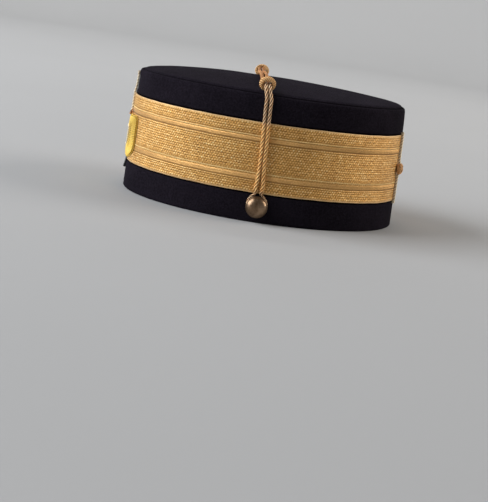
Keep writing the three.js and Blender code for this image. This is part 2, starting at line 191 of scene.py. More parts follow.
def smooth_route(points, closed, per_span=14):
    """A centripetal Catmull-Rom line through points."""
    p = np.asarray(points, float)
    n = len(p)
    t = np.linspace(0, 1, per_span, endpoint=False)[:, None]
    line = []
    for i in range(n if closed else n - 1):
        if closed:
            p0, p1, p2, p3 = p[i - 1], p[i], p[(i + 1) % n], p[(i + 2) % n]
        else:
            p1, p2 = p[i], p[i + 1]
            p0 = p[i - 1] if i else 2 * p1 - p2
            p3 = p[i + 2] if i + 2 < n else 2 * p2 - p1
        d0, d1, d2 = (math.sqrt(np.linalg.norm(b - a)) for a, b in ((p0, p1), (p1, p2), (p2, p3)))
        m1 = ((p1 - p0) / d0 - (p2 - p0) / (d0 + d1) + (p2 - p1) / d1) * d1
        m2 = ((p2 - p1) / d1 - (p3 - p1) / (d1 + d2) + (p3 - p2) / d2) * d1
        line.append(p1 + m1 * t + (3 * (p2 - p1) - 2 * m1 - m2) * t**2 + (2 * (p1 - p2) + m1 + m2) * t**3)
    if not closed:
        line.append(p[-1:])
    return np.concatenate(line)


def spaced(line, count, closed):
    """count even steps along a line. An open line gets count + 1 points."""
    q = np.concatenate([line, line[:1]]) if closed else line
    s = np.concatenate([[0], np.cumsum(np.linalg.norm(np.diff(q, axis=0), axis=1))])
    at = np.linspace(0, s[-1], count + 1)
    if closed:
        at = at[:-1]
    return np.stack([np.interp(at, s, q[:, k]) for k in range(3)], -1), s[-1]


def line_length(line, closed):
    return spaced(line, 2, closed)[1]


def carried_frames(p, closed):
    """Tangent and two cross directions along p that turn as little as possible, and meet at the close."""
    tangent = unit(np.roll(p, -1, 0) - np.roll(p, 1, 0) if closed else np.gradient(p, axis=0))
    n = np.zeros_like(p)
    first = np.cross(tangent[0], [0.0, 0.0, 1.0])
    if np.linalg.norm(first) < 0.2:
        first = np.cross(tangent[0], [0.0, 1.0, 0.0])
    n[0] = first / np.linalg.norm(first)

    def carry(a, b, ta, tb, na):
        v1 = b - a
        c1 = v1 @ v1
        nl, tl = na - (2 / c1) * (v1 @ na) * v1, ta - (2 / c1) * (v1 @ ta) * v1
        v2 = tb - tl
        c2 = v2 @ v2
        return nl if c2 < 1e-14 else nl - (2 / c2) * (v2 @ nl) * v2

    for i in range(len(p) - 1):
        n[i + 1] = carry(p[i], p[i + 1], tangent[i], tangent[i + 1], n[i])
    b = np.cross(tangent, n)
    if closed:
        back = carry(p[-1], p[0], tangent[-1], tangent[0], n[-1])
        off = math.atan2(back @ b[0], back @ n[0])
        turn = (-off * np.arange(len(p)) / len(p))[:, None]
        n, b = np.cos(turn) * n + np.sin(turn) * b, np.cos(turn) * b - np.sin(turn) * n
    return tangent, n, b


def add_tube(piece, line, radius, sides, closed, mat=0, u_from=0.0, upright=None, flat=1.0, **attrs):
    """A tube along line. upright, if given, is the direction that the section's first corner faces. flat scales the section along it."""
    tangent, n, b = carried_frames(line, closed)
    if upright is not None:
        n = unit(upright - (upright * tangent).sum(-1, keepdims=True) * tangent)
        b = np.cross(tangent, n)
    angle = np.arange(sides) * TAU / sides
    radius = np.broadcast_to(np.asarray(radius, float), (len(line),))[:, None, None]
    p = line[:, None] + radius * (flat * np.cos(angle)[None, :, None] * n[:, None] + np.sin(angle)[None, :, None] * b[:, None])
    step = np.linalg.norm(np.diff(np.concatenate([line, line[:1]]), axis=0), axis=1)
    u = u_from + np.concatenate([[0], np.cumsum(step)])
    per_vertex = {k: np.repeat(np.broadcast_to(a, (len(line),)), sides) for k, a in attrs.items()}
    # crest: how far each corner faces outwards. The thread materials paint shade and highlight from it.
    per_vertex["crest"] = np.tile(0.5 + 0.5 * np.cos(angle), len(line))
    start = piece.n
    piece.grid(p, u if closed else u[:-1], np.arange(sides + 1) / sides, closed, True, mat, **per_vertex)
    if not closed:
        ring = np.arange(sides)
        for row, turned in ((0, True), (len(line) - 1, False)):
            face = start + row * sides + ring
            face = (face[::-1] if turned else face) - piece.n
            piece.add(np.zeros((0, 3)), face[None], None, mat)


def add_rope(piece, line, radius, lay, plies=3, per_turn=16, sides=9, closed=False, fill=1.06, mat=0, hand=1, start=0.0):
    """Plies laid round each other along line. lay is the length of one whole turn. radius is a number, or gives one for each point."""
    length = line_length(line, closed)
    turns = max(1, round(length / lay)) if closed else length / lay
    count = int(round(turns * per_turn))
    p, _ = spaced(line, count, closed)
    tangent, n, b = carried_frames(p, closed)
    turn = hand * TAU * turns * np.arange(len(p)) / count + start
    size = np.broadcast_to(np.asarray(radius(p) if callable(radius) else radius, float), (len(p),))
    ply = size / (1 + 1 / math.sin(math.pi / plies)) * fill
    for k in range(plies):
        a = (turn + k * TAU / plies)[:, None]
        out = np.cos(a) * n + np.sin(a) * b
        add_tube(piece, p + (size - ply)[:, None] * out, ply, sides, closed, mat, u_from=37.0 * k, upright=out)
    return length


# ---- materials ---------------------------------------------------------------
def material(name):
    m = bpy.data.materials.new(name)
    m.use_nodes = True
    t = m.node_tree
    t.nodes.clear()
    out, shader = t.nodes.new("ShaderNodeOutputMaterial"), t.nodes.new("ShaderNodeBsdfPrincipled")
    t.links.new(shader.outputs["BSDF"], out.inputs["Surface"])
    return m, t, shader


def put(t, socket, value):
    if isinstance(value, bpy.types.NodeSocket):
        t.links.new(value, socket)
    else:
        socket.default_value = value


def node(t, kind, values=(), **props):
    n = t.nodes.new(kind)
    for k, v in props.items():
        setattr(n, k, v)
    for k, v in dict(values).items():
        put(t, n.inputs[k], v)
    return n


def calc(t, operation, a, b=0.0, clamp=False):
    n = t.nodes.new("ShaderNodeMath")
    n.operation, n.use_clamp = operation, clamp
    put(t, n.inputs[0], a)
    put(t, n.inputs[1], b)
    return n.outputs[0]


def mix(t, factor, a, b, blend="MIX"):
    n = t.nodes.new("ShaderNodeMix")
    n.data_type, n.blend_type = "RGBA", blend
    for i, x in ((0, factor), (6, a), (7, b)):
        put(t, n.inputs[i], (*x, 1.0) if isinstance(x, tuple) and len(x) == 3 else x)
    return n.outputs[2]


def spread(t, value, low, high, to_low, to_high):
    return node(t, "ShaderNodeMapRange", {"Value": value, "From Min": low, "From Max": high, "To Min": to_low, "To Max": to_high}).outputs["Result"]


def noise(t, where, scale, detail=3.0, rough=0.55):
    return node(t, "ShaderNodeTexNoise", {"Vector": where, "Scale": scale, "Detail": detail, "Roughness": rough}).outputs["Fac"]


def place(t):
    """Position in the object's own frame, in metres."""
    return node(t, "ShaderNodeTexCoord").outputs["Object"]


def weave_map(t):
    return node(t, "ShaderNodeUVMap", uv_map="Weave").outputs["UV"]


def stretched(t, where, scale):
    return node(t, "ShaderNodeMapping", {"Vector": where, "Scale": scale}).outputs["Vector"]


def attribute(t, name):
    return node(t, "ShaderNodeAttribute", attribute_name=name).outputs["Fac"]


def bump(t, height, distance, strength=1.0, under=None):
    values = {"Height": height, "Distance": distance, "Strength": strength}
    if under is not None:
        values["Normal"] = under
    return node(t, "ShaderNodeBump", values).outputs["Normal"]


def wool(name, dark, light, nap, sheen):
    """Fulled black wool: a faint twill under a short nap."""
    m, t, s = material(name)
    where = place(t)
    fibre = noise(t, stretched(t, where, (1.0, 1.0, 0.35)), 3200, 4, 0.65)
    cloud = noise(t, where, 38, 3, 0.6)
    fleck = noise(t, where, 780, 2, 0.6)
    tone = calc(t, "ADD", calc(t, "MULTIPLY", fibre, 0.3), calc(t, "ADD", calc(t, "MULTIPLY", cloud, 0.25), calc(t, "MULTIPLY", fleck, 0.55)))
    tone = spread(t, tone, 0.4, 0.72, 0.0, 1.0)
    # worn darkens the cloth towards a third of its dark tone. This is painted shade in the creases beside and under the
    # lace's edges and under the top's welt.
    worn = attribute(t, "worn")
    colour = mix(t, tone, dark, light)
    put(t, s.inputs["Base Color"], mix(t, worn, colour, tuple(0.35 * x for x in dark)))
    put(t, s.inputs["Roughness"], spread(t, fibre, 0.3, 0.7, 0.78, 0.98))
    twill = node(t, "ShaderNodeTexWave", {"Vector": weave_map(t), "Scale": 0.62, "Distortion": 0.5, "Detail": 1.0}, wave_type="BANDS", bands_direction="DIAGONAL").outputs["Fac"]
    low = bump(t, twill, 0.00006, 0.5)
    put(t, s.inputs["Normal"], bump(t, fibre, nap, 0.9, low))
    s.inputs["Specular IOR Level"].default_value = 0.015
    s.inputs["Sheen Weight"].default_value = sheen
    s.inputs["Sheen Roughness"].default_value = 0.45
    s.inputs["Sheen Tint"].default_value = (0.86, 0.82, 1.0, 1.0)
    return m


def gold_lace():
    m, t, s = material("woven_gold_lace")
    uv, where = weave_map(t), place(t)
    smooth, pale, dark, lift = attribute(t, "smooth"), attribute(t, "pale"), attribute(t, "dark"), attribute(t, "lift")
    fine = node(t, "ShaderNodeTexBrick", {
        "Vector": uv, "Color1": (0.90, 0.90, 0.90, 1), "Color2": (1.14, 1.14, 1.14, 1), "Mortar": (0.68, 0.63, 0.56, 1),
        "Scale": 1.0, "Mortar Size": 0.045, "Mortar Smooth": 0.9, "Bias": 0.0, "Brick Width": 0.405, "Row Height": 0.30}, offset=0.5, squash=1.0)
    cloud = noise(t, where, 90, 3, 0.6)
    streak = noise(t, stretched(t, uv, (0.45, 4.2, 1.0)), 1.0, 2, 0.6)
    tint = mix(t, spread(t, cloud, 0.35, 0.65, 0.0, 1.0), (0.93, 0.9, 0.86), (1.06, 1.05, 1.02))
    # By lift, the sunken weave takes painted shade and the raised floats a pale painted glint.
    colour = mix(t, spread(t, lift, -1.1, 0.3, 0.0, 1.0), (0.145, 0.038, 0.003), (0.84, 0.465, 0.126))
    colour = mix(t, spread(t, lift, 0.3, 1.5, 0.0, 1.0), colour, (0.98, 0.87, 0.51))
    satin = mix(t, spread(t, streak, 0.3, 0.7, 0.0, 1.0), (0.60, 0.295, 0.076), (1.0, 0.63, 0.26))
    colour = mix(t, calc(t, "MULTIPLY", smooth, 0.75), colour, satin)
    colour = mix(t, calc(t, "MULTIPLY", pale, 0.8), colour, mix(t, spread(t, streak, 0.3, 0.7, 0.0, 1.0), (0.74, 0.49, 0.24), (0.95, 0.72, 0.43)))
    # dark: woven dark lines, plus painted shade at the edges and on the hidden back.
    colour = mix(t, calc(t, "MULTIPLY", dark, 0.75), colour, (0.13, 0.055, 0.01))
    colour = mix(t, 0.85, colour, fine.outputs["Color"], "MULTIPLY")
    put(t, s.inputs["Base Color"], mix(t, 1.0, colour, tint, "MULTIPLY"))
    put(t, s.inputs["Roughness"], calc(t, "ADD", spread(t, streak, 0.3, 0.7, 0.38, 0.5), calc(t, "MULTIPLY", smooth, -0.07)))
    s.inputs["Metallic"].default_value = 0.5
    s.inputs["Specular IOR Level"].default_value = 0.35
    # The satin stripes' threads all lean the same way
    along = node(t, "ShaderNodeSeparateXYZ", {"Vector": uv}).outputs["X"]
    lean = calc(t, "MULTIPLY", calc(t, "FRACT", calc(t, "MULTIPLY", along, 1.25)), smooth)
    low = bump(t, calc(t, "SUBTRACT", 1.0, fine.outputs["Fac"]), 0.00006, 0.6, bump(t, lean, 0.00025))
    put(t, s.inputs["Normal"], bump(t, streak, 0.00008, 0.5, low))
    return m


def gold_thread(name, dark, mid, light, metal, rough, yarns=7.0, slope=0.9, relief=0.00008, low=0.42, high=0.86):
    """Thread-wrapped ply: fine yarns wind round it. Its colour carries painted shade where it turns in to its
    neighbours and in the grooves between the yarns, and a painted highlight on its outward crest.
    """
    m, t, s = material(name)
    uv, where = weave_map(t), place(t)
    crest = attribute(t, "crest")
    part = node(t, "ShaderNodeSeparateXYZ", {"Vector": uv})
    wind = calc(t, "ADD", calc(t, "MULTIPLY", part.outputs["X"], slope), calc(t, "MULTIPLY", part.outputs["Y"], yarns))
    wave = calc(t, "ABSOLUTE", calc(t, "SINE", calc(t, "MULTIPLY", wind, math.pi)))
    each = node(t, "ShaderNodeTexWhiteNoise", {"W": calc(t, "FLOOR", wind)}, noise_dimensions="1D").outputs["Value"]
    blot = noise(t, where, 420, 3, 0.6)
    # The crest term paints a highlight on the ply's outward face.
    tone = calc(t, "ADD", calc(t, "MULTIPLY", each, 0.35), calc(t, "ADD", calc(t, "MULTIPLY", blot, 0.35), calc(t, "MULTIPLY", crest, 0.35)))
    colour = mix(t, spread(t, tone, 0.35, 0.85, 0.0, 1.0), mid, light)
    # Painted shade in the grooves between the yarns.
    colour = mix(t, spread(t, wave, 0.0, 0.4, 0.6, 0.0), colour, dark)
    # painted_lace_bounce: painted bounce light from the lace, which warms and lightens the cord and its valleys.
    painted_lace_bounce = attribute(t, "painted_lace_bounce")
    # Painted shade in the valleys where the ply turns in to its neighbours.
    painted_valley_shade = calc(t, "MULTIPLY", spread(t, crest, low, high, 1.0, 0.0), calc(t, "SUBTRACT", 1.0, calc(t, "MULTIPLY", painted_lace_bounce, 0.12)))
    colour = mix(t, painted_valley_shade, colour, mix(t, painted_lace_bounce, tuple(0.8 * x for x in dark), (0.20, 0.077, 0.016)))
    colour = mix(t, painted_lace_bounce, colour, mix(t, 1.0, colour, (1.2, 1.05, 0.70), "MULTIPLY"))
    # tan is painted shade: it darkens and browns the cord's run between the sliders.
    put(t, s.inputs["Base Color"], mix(t, attribute(t, "tan"), colour, mix(t, 1.0, colour, (0.68, 0.46, 0.285), "MULTIPLY")))
    put(t, s.inputs["Roughness"], spread(t, blot, 0.3, 0.7, rough - 0.06, rough + 0.08))
    s.inputs["Metallic"].default_value = metal
    s.inputs["Specular IOR Level"].default_value = 0.08
    put(t, s.inputs["Normal"], bump(t, wave, relief, 0.8))
    return m


def antique_brass():
    m, t, s = material("antique_brass")
    where = place(t)
    cloud = noise(t, where, 170, 4, 0.6)
    grain = noise(t, where, 5200, 2, 0.5)
    rim = attribute(t, "rim")
    colour = mix(t, spread(t, cloud, 0.35, 0.7, 0.0, 1.0), (0.35, 0.24, 0.153), (0.092, 0.049, 0.024))
    put(t, s.inputs["Base Color"], mix(t, rim, colour, (0.13, 0.085, 0.05)))
    put(t, s.inputs["Roughness"], calc(t, "ADD", spread(t, cloud, 0.3, 0.7, 0.27, 0.36), calc(t, "MULTIPLY", rim, 0.2)))
    s.inputs["Metallic"].default_value = 1.0
    put(t, s.inputs["Normal"], bump(t, grain, 0.00002, 0.35))
    return m


def black_felt():
    m, t, s = material("black_felt")
    where = place(t)
    fibre = noise(t, stretched(t, where, (1.0, 0.6, 0.5)), 2600, 5, 0.7)
    put(t, s.inputs["Base Color"], mix(t, spread(t, fibre, 0.35, 0.7, 0.0, 1.0), (0.006, 0.0055, 0.007), (0.026, 0.023, 0.027)))
    put(t, s.inputs["Roughness"], spread(t, fibre, 0.3, 0.7, 0.85, 1.0))
    put(t, s.inputs["Normal"], bump(t, fibre, 0.00018, 0.9))
    s.inputs["Sheen Weight"].default_value = 0.12
    s.inputs["Sheen Roughness"].default_value = 0.5
    return m


def pale_floor():
    m, t, s = material("pale_paper_floor")
    where = place(t)
    grain = noise(t, where, 240, 3, 0.5)
    cloud = noise(t, where, 2.2, 2, 0.5)
    tone = calc(t, "ADD", calc(t, "MULTIPLY", grain, 0.25), calc(t, "MULTIPLY", cloud, 0.75))
    put(t, s.inputs["Base Color"], mix(t, tone, (0.352, 0.352, 0.352), (0.380, 0.381, 0.382)))
    put(t, s.inputs["Roughness"], spread(t, grain, 0.3, 0.7, 0.82, 0.92))
    s.inputs["Specular IOR Level"].default_value = 0.1
    return m


CLOTH = wool("black_wool_cloth", (0.0050, 0.0041, 0.0060), (0.0174, 0.0139, 0.0201), 0.00012, 0.003)
INSIDE = wool("black_wool_inside", (0.003, 0.0025, 0.0038), (0.0098, 0.008, 0.0115), 0.00012, 0.003)
LACE = gold_lace()
CORD = gold_thread("gold_cord", (0.095, 0.023, 0.003), (0.98, 0.475, 0.185), (1.0, 0.79, 0.53), 0.2, 0.44, 6.0, 0.9, 0.00005, 0.69, 0.98)
LINE = gold_thread("gold_line_thread", (0.70, 0.39, 0.11), (1.0, 0.745, 0.32), (1.0, 0.84, 0.44), 0.12, 0.4, 0.0, 0.4, 0.00002, 0.1, 0.6)
TRIM = gold_thread("pale_gold_cord", (0.24, 0.13, 0.045), (1.0, 0.78, 0.48), (1.0, 0.93, 0.74), 0.1, 0.45, 4.0, 0.9, 0.00004, 0.35, 0.8)
KNOT = gold_thread("gold_knot_thread", (0.21, 0.06, 0.008), (0.99, 0.475, 0.155), (1.0, 0.735, 0.39), 0.12, 0.5, 3.0, 0.7, 0.00004, 0.45, 0.9)
BALL = gold_thread("brown_gold_thread", (0.12, 0.034, 0.006), (0.66, 0.31, 0.105), (0.9, 0.54, 0.26), 0.12, 0.5, 3.0, 0.7, 0.00004, 0.5, 0.94)
BROWN = gold_thread("brown_whipping", (0.16, 0.05, 0.012), (0.52, 0.20, 0.065), (0.70, 0.34, 0.13), 0.2, 0.5, 3.0, 0.8, 0.00004)
YELLOW = gold_thread("yellow_satin_thread", (0.36, 0.155, 0.007), (1.0, 0.58, 0.068), (1.0, 0.78, 0.19), 0.3, 0.33, 0.0, 1.9, 0.00006, 0.6, 0.97)
PALE = gold_thread("pale_satin_thread", (0.30, 0.19, 0.03), (0.86, 0.66, 0.22), (1.0, 0.86, 0.45), 0.25, 0.33, 0.0, 1.9, 0.00006, 0.6, 0.97)
BRASS = antique_brass()
FELT = black_felt()


def settle(piece, slot, *nodes):
    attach(piece, "root")
    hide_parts(*nodes)
    return piece


# ---- crown: side -------------------------------------------------------------
def ripple(theta, seed, orders, size):
    """A gentle unevenness round the crown."""
    r = np.random.default_rng(seed)
    total = np.zeros_like(theta)
    for k in orders:
        total = total + r.normal() * np.sin(k * theta + r.uniform(0, TAU)) / math.sqrt(len(orders))
    return size * total


AROUND = 360
theta, along = round_angles(AROUND)
# Rows of the wall's section: z, out from the oval, how far the row may wander, and how much painted shade darkens it
# beside and under the lace's edges and in the crease under the top's welt.
HEM = [(0.0, -1.75, 0, 0), (0.0, -1.05, 0, 0), (0.1, -0.55, 0, 0), (0.4, -0.15, 0, 0), (0.95, 0.08, 0.3, 0)]
LOWER = [(z, 0.15, 1.0, 0) for z in (1.7, 3.0, 5.0, 7.5, 10.0, 12.5, 15.0, 17.0)] + [(18.6, 0.12, 0.6, 0), (19.4, 0.05, 0.3, 0.1), (19.85, -0.2, 0, 0.6), (20.05, -0.7, 0, 1)]
BED = [(z, -0.7, 0, 1) for z in (26.0, 36.0, 46.0, 56.0, 66.0)]
UPPER = [(70.65, -0.7, 0, 1), (70.85, -0.15, 0, 0.6), (71.3, 0.12, 0.3, 0.1), (72.2, 0.16, 0.6, 0)] + [(z, o, 1.0, 0) for z, o in ((74.0, 0.16), (76.0, 0.14), (78.0, 0.1), (80.0, 0.04), (82.0, -0.05), (84.0, -0.17))] + [
    (85.6, -0.26, 0.8, 0), (86.7, -0.4, 0.6, 0), (87.5, -0.6, 0.4, 0), (88.1, -0.9, 0.3, 0), (88.5, -1.27, 0.2, 0), (88.72, -1.67, 0.1, 0.1), (88.79, -2.05, 0, 0.4), (88.66, -2.36, 0, 0.9), (88.25, -2.56, 0, 1), (87.5, -2.68, 0, 1)]
# The wall's upper edge turns in under the top panel. Its rows have the same columns, with painted shade where it tucks
# under the welt.
LINING = [(87.3, -2.95, 0, 1), (87.25, -4.7, 0, 1), (86.7, -4.75, 0, 0), (86.45, -3.3, 0, 0)] + [(z, -3.2, 0.3, 0) for z in (82.0, 76.0, 66.0, 56.0, 46.0, 36.0, 26.0, 17.0)] + [
    (14.0, -3.0, 0.3, 0), (11.5, -2.62, 0.3, 0), (10.0, -2.5, 0.2, 0), (6.0, -2.5, 0, 0), (2.0, -2.5, 0, 0), (0.7, -2.5, 0, 0), (0.2, -2.3, 0, 0)]
side = Piece()
wander = ripple(theta, 4, (3, 5, 8, 13, 21), 0.13)
wander_high = ripple(theta, 9, (4, 7, 11, 17), 0.12)
rows = np.array(HEM + LOWER + BED + UPPER)
front_share = np.clip(-np.sin(theta), 0, 1)
sunk = lambda z: 0.7 * np.interp(z, [71.3, 74.0, 82.0, 86.5], [0, 1, 1, 0]) * front_share**14
lowered = lambda z: 0.3 * np.interp(z, [85.6, 88.0], [0, 1]) * front_share**6
outer = np.stack([on_crown(theta, z - lowered(z), o - sunk(z) + w * (wander if z < 40 else wander_high)) for z, o, w, _ in rows])
inner_rows = np.array(LINING)
inner = np.stack([on_crown(theta, z - (0.85 * front_share**6 if z > 86 else 0), o + w * wander) for z, o, w, _ in inner_rows])
wall = np.concatenate([outer, inner])
worn = np.concatenate([rows[:, 3], inner_rows[:, 3]])
run = np.concatenate([[0], np.cumsum(np.abs(np.diff(np.concatenate([rows[:, 0], inner_rows[:, 0]]))) + 0.3), [999.0]])
split = len(rows)
ni, nj = wall.shape[:2]
i, j = np.meshgrid(np.arange(ni), np.arange(nj), indexing="ij")
i, j = i.ravel(), j.ravel()
i2, j2 = (i + 1) % ni, (j + 1) % nj
faces = np.stack([i * nj + j, i * nj + j2, i2 * nj + j2, i2 * nj + j], 1)
corner = lambda jj, ii: np.stack([along[jj], run[ii]], -1)
uv = np.stack([corner(j, i), corner(j + 1, i), corner(j + 1, i + 1), corner(j, i + 1)], 1)
side.add(wall, faces, uv, 0, worn=np.repeat(worn, nj))
side.mat[-1] = np.where((i >= split) & (i < ni - 1), 1, 0)
crown_side = settle(side.make("crown_side_cloth", CLOTH, INSIDE), "cloth", "crown_side")

# ---- crown: top panel with its welt ------------------------------------------
top = Piece()
a_top, b_top, y_top = float(half_length(CROWN_HEIGHT)), float(half_width(CROWN_HEIGHT)), float(middle_y(CROWN_HEIGHT))
dome = lambda s: CROWN_HEIGHT + TOP_RISE * (1 - s * s) - 0.1
pucker = ripple(theta, 15, (61, 73, 88, 97), 0.07)
soft = ripple(theta, 16, (2, 3, 5, 7), 0.35)


def panel_ring(share, lower=0.0, seam=0.0):
    x, y = share * b_top * np.cos(theta), y_top + share * a_top * np.sin(theta)
    z = dome(share) - lower + seam * pucker + 0.5 * soft * math.sin(math.pi * min(1, share)) ** 2 - 0.85 * front_share**6 * np.interp(share, [0.82, 0.87, 0.93], [0, 0.3, 1])
    return np.stack([x, y, np.broadcast_to(z, x.shape)], -1)


def edge_ring(out, z, seam=0.0):
    p = on_crown(theta, CROWN_HEIGHT, out)
    p[:, 2] = z + seam * pucker - 0.85 * front_share**6
    return p


FACE_SHARES = [0.04, 0.1, 0.17, 0.25, 0.33, 0.41, 0.49, 0.57, 0.65, 0.72, 0.78, 0.83, 0.87, 0.9, 0.92, 0.935]
# The welt's rows: out from the oval, z, how much the seam puckers it, and how much painted shade darkens the crease
# under it.
WELT = [(-4.6, 90.4, 0.6, 0.0), (-4.0, 90.1, 1.0, 0.0), (-3.5, 89.77, 1.0, 0.0), (-3.15, 89.42, 0.8, 0.15), (-2.94, 89.08, 0.5, 0.7), (-2.84, 88.74, 0.3, 1.0), (-2.78, 88.4, 0, 1.0), (-2.8, 88.0, 0, 1.0), (-3.1, 87.75, 0, 1), (-4.2, 87.6, 0, 1)]
UNDER_SHARES = [0.93, 0.9, 0.84, 0.76, 0.66, 0.55, 0.43, 0.3, 0.17, 0.05]
rings = [panel_ring(s, 0, max(0, (s - 0.9) / 0.05)) for s in FACE_SHARES] + [edge_ring(o, z, p) for o, z, p, _ in WELT] + [panel_ring(s, TOP_THICK) for s in UNDER_SHARES]
shade = [0.0] * len(FACE_SHARES) + [w for *_, w in WELT] + [0.0] * len(UNDER_SHARES)
rings = np.stack(rings)
nr = len(rings)
across = np.concatenate([[0], np.cumsum(np.linalg.norm(np.diff(rings[:, 0], axis=0), axis=1))])
count = len(theta)
i, j = np.meshgrid(np.arange(nr - 1), np.arange(count), indexing="ij")
i, j = i.ravel(), j.ravel()
j2 = (j + 1) % count
faces = np.stack([i * count + j, (i + 1) * count + j, (i + 1) * count + j2, i * count + j2], 1)
flat_map = rings[..., :2]
uv = np.stack([flat_map[i, j], flat_map[i + 1, j], flat_map[i + 1, j2], flat_map[i, j2]], 1)
top.add(rings, faces, uv, 0, worn=np.repeat(shade, count))
under_from = len(FACE_SHARES) + len(WELT) - 2
top.mat[-1] = np.where(i >= under_from, 1, 0)
for row, pole, m, turned in ((0, [0, y_top, dome(0)], 0, False), (nr - 1, [0, y_top, dome(0) - TOP_THICK], 1, True)):
    ring = np.arange(count)
    fan = np.stack([np.full(count, count), ring, (ring + 1) % count], 1)
    fan = fan[:, ::-1] if turned else fan
    pts = np.concatenate([rings[row], [pole]])
    top.add(pts, fan, pts[fan.ravel()][:, :2].reshape(-1, 3, 2), m, worn=np.zeros(count + 1))
crown_top = top.make("crown_top_cloth", CLOTH, INSIDE)
weld = crown_top.modifiers.new("weld", "WELD")
weld.merge_threshold = 1e-6
settle(crown_top, "cloth", "crown_top")

# ---- lace ----------------------------------------------------------------------
# The weave, from the upper edge down: z, height of the face, smooth stripe, pale selvedge, dark line (woven dark lines,
# and at the two edges painted shade where the lace meets the cloth).
CHART = np.array([
    (69.98, -0.45, 0, 1, 0.6), (69.92, -0.1, 0, 1, 0.2), (69.75, 0.0, 0, 1, 0), (69.2, 0.03, 0, 0.4, 0), (68.7, 0.02, 0, 0, 0), (68.3, 0.0, 0, 0, 0),
    (62.3, 0.0, 0, 0, 0), (61.95, -0.05, 0, 0, 0.3), (61.55, -0.1, 0, 0, 0.6), (61.15, -0.08, 0, 0, 0.4), (60.9, 0.0, 0.3, 0, 0), (60.0, 0.0, 0.3, 0, 0),
    (59.72, -0.08, 0.3, 0, 0.45), (59.42, 0.03, 1, 0, 0), (58.9, 0.07, 1, 0, 0), (58.2, 0.08, 1, 0, 0), (57.5, 0.06, 1, 0, 0), (57.05, -0.02, 1, 0, 0.2),
    (56.65, -0.16, 0.5, 0, 0.85), (56.1, -0.15, 0.3, 0, 0.85), (55.65, 0.0, 0, 0, 0.2), (55.2, 0.1, 0.3, 0, 0), (54.8, 0.0, 0, 0, 0.2), (54.48, -0.1, 0, 0, 0.5), (54.1, 0.0, 0, 0, 0),
    (36.9, 0.0, 0, 0, 0), (36.5, 0.08, 0.2, 0, 0), (36.1, 0.0, 0, 0, 0.2), (35.75, -0.1, 0, 0, 0.5), (35.35, 0.0, 0.3, 0, 0), (34.15, 0.0, 0.3, 0, 0),
    (33.65, -0.08, 0.3, 0, 0.45), (33.3, 0.03, 1, 0, 0), (32.6, 0.07, 1, 0, 0), (31.8, 0.08, 1, 0, 0), (31.0, 0.06, 1, 0, 0), (30.5, -0.02, 1, 0, 0.2),
    (30.05, -0.15, 0.4, 0, 0.75), (29.6, -0.14, 0.2, 0, 0.8), (29.3, 0.0, 0, 0, 0.1), (29.0, 0.09, 0.3, 0, 0), (28.6, 0.0, 0, 0, 0.1), (28.22, -0.09, 0, 0, 0.45), (27.85, 0.0, 0, 0, 0),
    (23.1, 0.0, 0, 0, 0), (22.65, 0.03, 0, 0, 0), (22.2, 0.03, 0, 0.1, 0), (21.6, 0.03, 0, 0.6, 0), (21.0, 0.01, 0, 1, 0), (20.81, -0.1, 0, 1, 0.2), (20.75, -0.45, 0, 1, 0.6)])
LINE_Z = (60.45, 34.72)
RIB_FROM, RIB_PITCH = 52.2, 3.27
COLUMNS = 600
FLOAT_PITCH = RIB_PITCH / 2  # rows of floats up the lace; along it a float takes two columns
z_rows = list(CHART[:, 0])
for high, low in zip(CHART[:-1, 0], CHART[1:, 0]):
    first, last = math.ceil((RIB_FROM - high + 0.12) / (FLOAT_PITCH / 4)), math.floor((RIB_FROM - low - 0.12) / (FLOAT_PITCH / 4))
    if high - low > 0.7:
        z_rows += [RIB_FROM - k * FLOAT_PITCH / 4 for k in range(first, last + 1)]
z_rows = np.array(sorted(z_rows))
chart = CHART[::-1]
height, smooth, pale, dark = (np.interp(z_rows, chart[:, 0], chart[:, k]) for k in (1, 2, 3, 4))
woven = np.clip(1 - 0.42 * smooth - 0.6 * pale - dark, 0, 1)
lace_theta, lace_along = round_angles(COLUMNS)
i, j = np.meshgrid(np.arange(len(z_rows)), np.arange(COLUMNS), indexing="ij")
cell = np.round((z_rows - RIB_FROM) / FLOAT_PITCH).astype(int)
each = rng.uniform(0, 1, (cell.max() - cell.min() + 1, COLUMNS))[cell - cell.min()]
uneven = rng.normal(0, 0.13, COLUMNS)[None]
floats = np.cos(TAU * (z_rows[:, None] - RIB_FROM + uneven) / RIB_PITCH) * np.where(j % 2 == 0, 1.0, -1.0)
rib = np.cos(TAU * (z_rows - RIB_FROM) / RIB_PITCH)
row = np.cos(TAU * (z_rows - RIB_FROM) / FLOAT_PITCH)
# lift drives the lace's colour: raised and random bright floats get painted glints, and the sunken weave gets painted
# shade.
lift = woven[:, None] * (floats * (0.5 + 0.6 * each) + 0.46 * row[:, None] + 0.08 * rib[:, None] + 0.45 * each**3 - 0.1) + rng.uniform(-0.29, 0.29, i.shape)
relief = height[:, None] + woven[:, None] * (0.105 * floats * (0.6 + 0.5 * each) + 0.085 * row[:, None] + 0.02 * rib[:, None]) + (0.015 + 0.015 * pale[:, None]) * rng.uniform(-1, 1, i.shape)
edge_wave = ripple(lace_theta, 31, (9, 14, 23, 37), 0.1)
loops_wave = 0.06 * np.where(np.arange(COLUMNS) % 2 == 0, 1.0, -1.0)
z_grid = z_rows[:, None] + edge_wave[None] + np.where(np.abs(z_rows - 45.4) > 24.4, np.sign(z_rows - 45.4), 0)[:, None] * loops_wave[None]
face = on_crown(lace_theta[None], z_grid, LACE_FACE + relief)
back = np.stack([on_crown(lace_theta, z, -0.38) for z in (69.9, 60.0, 45.0, 30.0, 20.85)])
band = Piece()
section = np.concatenate([face, back])
fill = np.zeros(len(back))
section_v = np.concatenate([z_rows, [70.5, 80.0, 95.0, 110.0, 119.5, 120.0]])
